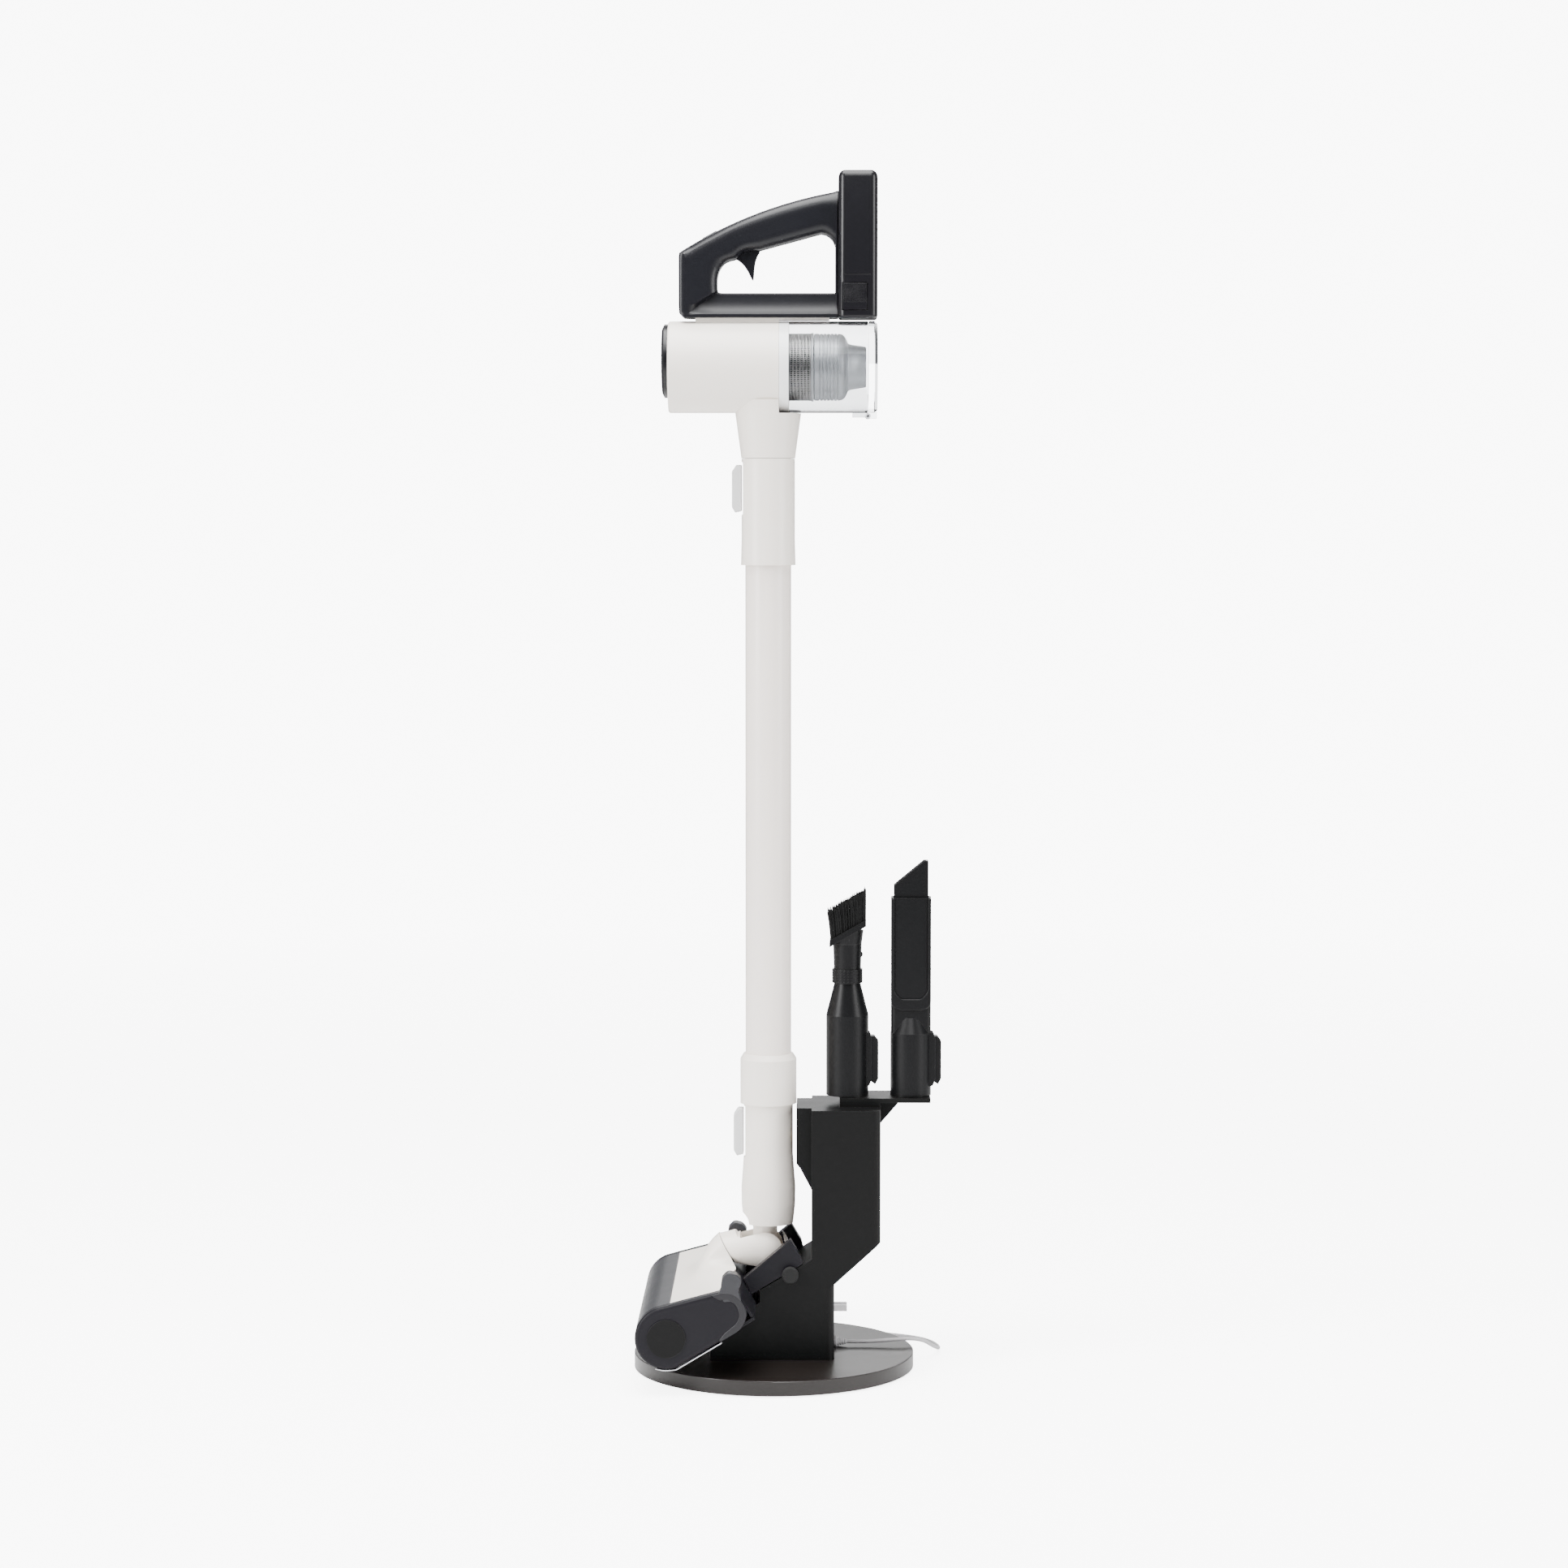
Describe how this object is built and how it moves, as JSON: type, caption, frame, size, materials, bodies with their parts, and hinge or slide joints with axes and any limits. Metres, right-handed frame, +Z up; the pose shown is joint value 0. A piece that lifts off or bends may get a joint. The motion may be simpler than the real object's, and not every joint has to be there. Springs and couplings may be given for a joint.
{
  "type": "cordless stick vacuum",
  "caption": "Upright cordless stick vacuum parked on a round-base charging stand, with a clear dust bin, loop handle, roller floor head, crevice tool and brush tool.",
  "frame": {"origin": "centre of the round base's underside, on the floor", "axes": "+Z up, +X towards the stand's column and the dust bin end, +Y to the far side of the vacuum"},
  "size_m": [0.2818, 0.3415, 1.083],
  "materials": {
    "white_shell": "satin moulded",
    "white_tube": "satin paint",
    "pale_button": "satin moulded",
    "dark_handle": "fine texture",
    "black_stand": "satin moulded",
    "base_board": "soft gloss",
    "grey_cover": "satin moulded",
    "dark_cover": "satin moulded",
    "clear_bin": "clear moulded",
    "pale_ring": "satin moulded",
    "steel": "brushed",
    "mesh_steel": "perforated",
    "cyclone_grey": "satin moulded",
    "rubber_black": "matt",
    "roller_pile": "short pile",
    "bristle": "bristle",
    "cord_white": "satin",
    "brass_pin": "plated",
    "cell_wrap": "shrink wrap",
    "filter_felt": "pleated felt",
    "aluminium_rotor": "machined"
  },
  "bodies": {
    "stand": {"base_disc": "base_board", "base_pad": "rubber_black", "stand_column": "black_stand", "charge_tongue": "black_stand", "charge_contacts": "brass_pin", "cable_gland": "cord_white", "tool_bracket": "black_stand", "charger_cord": "cord_white", "cord_coil": "cord_white", "charger_plug": "cord_white"},
    "brush_tool": {"brush_tool_body": "black_stand", "brush_head": "black_stand", "brush_bristles": "bristle"},
    "brush_tool_button": {"brush_button": "black_stand"},
    "crevice_tool": {"crevice_sleeve": "black_stand"},
    "crevice_slider": {"crevice_tip": "black_stand"},
    "crevice_tool_button": {"crevice_button": "black_stand"},
    "head": {"head_chassis": "dark_cover", "head_cover": "white_shell", "front_cover": "grey_cover", "side_cover_left": "dark_cover", "side_cover_right": "dark_cover", "end_caps": "dark_cover", "sole_strips": "steel", "roller_bearings": "steel", "brush_motor": "steel", "drive_belt": "rubber_black"},
    "roller": {"roller_core": "dark_cover", "roller_pile": "roller_pile"},
    "pulley": {"motor_pulley": "dark_cover"},
    "left_wheel": {"wheel_left": "rubber_black"},
    "right_wheel": {"wheel_right": "rubber_black"},
    "steering_elbow": {"elbow": "white_shell", "pitch_pin": "steel"},
    "neck": {"nozzle_neck": "white_shell", "neck_stem": "dark_cover"},
    "neck_latch": {"neck_button": "pale_button"},
    "wand": {"wand_tube": "white_tube", "wand_lower_collar": "white_shell", "wand_upper_collar": "white_shell"},
    "wand_latch": {"wand_button": "pale_button"},
    "main_unit": {"motor_housing": "white_shell", "fan_motor": "steel", "handle_frame": "dark_handle", "mesh_filter": "mesh_steel", "cyclone_body": "cyclone_grey", "exhaust_filter": "filter_felt"},
    "fan": {"fan_rotor": "aluminium_rotor"},
    "filter_cap": {"front_cap": "dark_handle"},
    "bin": {"dust_bin": "clear_bin", "bin_ring": "pale_ring", "lid_pin": "steel"},
    "lid": {"bin_lid": "clear_bin"},
    "lid_latch": {"lid_catch": "pale_button"},
    "trigger": {"trigger": "dark_handle"},
    "mode_key": {"mode_button": "grey_cover"},
    "battery": {"battery_case": "dark_handle", "battery_cells": "cell_wrap"},
    "battery_key_left": {"battery_button_left": "dark_cover"},
    "battery_key_right": {"battery_button_right": "dark_cover"}
  },
  "joints": [
    {"name": "undock", "type": "slide", "parent": "stand", "child": "head", "axis": [0, 0, 1], "range_m": [0, 0.12]},
    {"name": "roller_spin", "type": "hinge", "parent": "head", "child": "roller", "pos_m": [-0.09298, 0, 0.05114], "axis": [0, 1, 0], "continuous": true},
    {"name": "pulley_spin", "type": "hinge", "parent": "head", "child": "pulley", "pos_m": [-0.05081, 0, 0.06832], "axis": [0, 1, 0], "continuous": true},
    {"name": "left_wheel_spin", "type": "hinge", "parent": "head", "child": "left_wheel", "pos_m": [0.01537, 0, 0.09409], "axis": [0, 1, 0], "continuous": true},
    {"name": "right_wheel_spin", "type": "hinge", "parent": "head", "child": "right_wheel", "pos_m": [0.01537, 0, 0.09409], "axis": [0, 1, 0], "continuous": true},
    {"name": "steer", "type": "hinge", "parent": "head", "child": "steering_elbow", "pos_m": [-0.008, 0, 0.11], "axis": [1, 0, 0], "range_deg": [-25, 25]},
    {"name": "recline", "type": "hinge", "parent": "steering_elbow", "child": "neck", "pos_m": [-0.008, 0, 0.11], "axis": [0, 1, 0], "range_deg": [-30, 0]},
    {"name": "neck_release", "type": "slide", "parent": "neck", "child": "neck_latch", "axis": [1, 0, 0], "range_m": [0, 0.002], "stiffness_N_per_m": 900},
    {"name": "wand_pull", "type": "slide", "parent": "neck", "child": "wand", "axis": [0, 0, 1], "range_m": [0, 0.045]},
    {"name": "wand_release", "type": "slide", "parent": "wand", "child": "wand_latch", "axis": [1, 0, 0], "range_m": [0, 0.002], "stiffness_N_per_m": 900},
    {"name": "main_unit_pull", "type": "slide", "parent": "wand", "child": "main_unit", "axis": [0, 0, 1], "range_m": [0, 0.042]},
    {"name": "fan_spin", "type": "hinge", "parent": "main_unit", "child": "fan", "pos_m": [-0.05, 0, 0.9094], "axis": [1, 0, 0], "continuous": true},
    {"name": "filter_cap_pull", "type": "slide", "parent": "main_unit", "child": "filter_cap", "axis": [-1, 0, 0], "range_m": [0, 0.04]},
    {"name": "bin_pull", "type": "slide", "parent": "main_unit", "child": "bin", "axis": [1, 0, 0], "range_m": [0, 0.08]},
    {"name": "lid_open", "type": "hinge", "parent": "bin", "child": "lid", "pos_m": [0.0846, 0, 0.8656], "axis": [0, 1, 0], "range_deg": [0, 95]},
    {"name": "lid_release", "type": "slide", "parent": "lid", "child": "lid_latch", "axis": [0, 0, -1], "range_m": [0, 0.0018], "stiffness_N_per_m": 900},
    {"name": "trigger_pull", "type": "hinge", "parent": "main_unit", "child": "trigger", "pos_m": [-0.0246, 0, 1.0166], "axis": [0, -1, 0], "range_deg": [0, 12], "stiffness_Nm_per_rad": 0.6},
    {"name": "mode_press", "type": "slide", "parent": "main_unit", "child": "mode_key", "axis": [0.4789, 0, -0.8779], "range_m": [0, 0.001], "stiffness_N_per_m": 900},
    {"name": "battery_pull", "type": "slide", "parent": "main_unit", "child": "battery", "axis": [0, 0, 1], "range_m": [0, 0.09]},
    {"name": "battery_key_left_press", "type": "slide", "parent": "battery", "child": "battery_key_left", "axis": [0, 1, 0], "range_m": [0, 0.0011], "stiffness_N_per_m": 900},
    {"name": "battery_key_right_press", "type": "slide", "parent": "battery", "child": "battery_key_right", "axis": [0, -1, 0], "range_m": [0, 0.0011], "stiffness_N_per_m": 900},
    {"name": "brush_tool_lift", "type": "slide", "parent": "stand", "child": "brush_tool", "axis": [0, 0, 1], "range_m": [0, 0.06]},
    {"name": "brush_button_press", "type": "slide", "parent": "brush_tool", "child": "brush_tool_button", "axis": [-1, 0, 0], "range_m": [0, 0.002], "stiffness_N_per_m": 900},
    {"name": "crevice_tool_lift", "type": "slide", "parent": "stand", "child": "crevice_tool", "axis": [0, 0, 1], "range_m": [0, 0.06]},
    {"name": "crevice_extend", "type": "slide", "parent": "crevice_tool", "child": "crevice_slider", "axis": [0, 0, 1], "range_m": [-0.015, 0.06]},
    {"name": "crevice_button_press", "type": "slide", "parent": "crevice_tool", "child": "crevice_tool_button", "axis": [-1, 0, 0], "range_m": [0, 0.002], "stiffness_N_per_m": 900}
  ],
  "couplings": [
    {"joint": "pulley_spin", "follows": "roller_spin", "ratio": 1.6667}
  ]
}
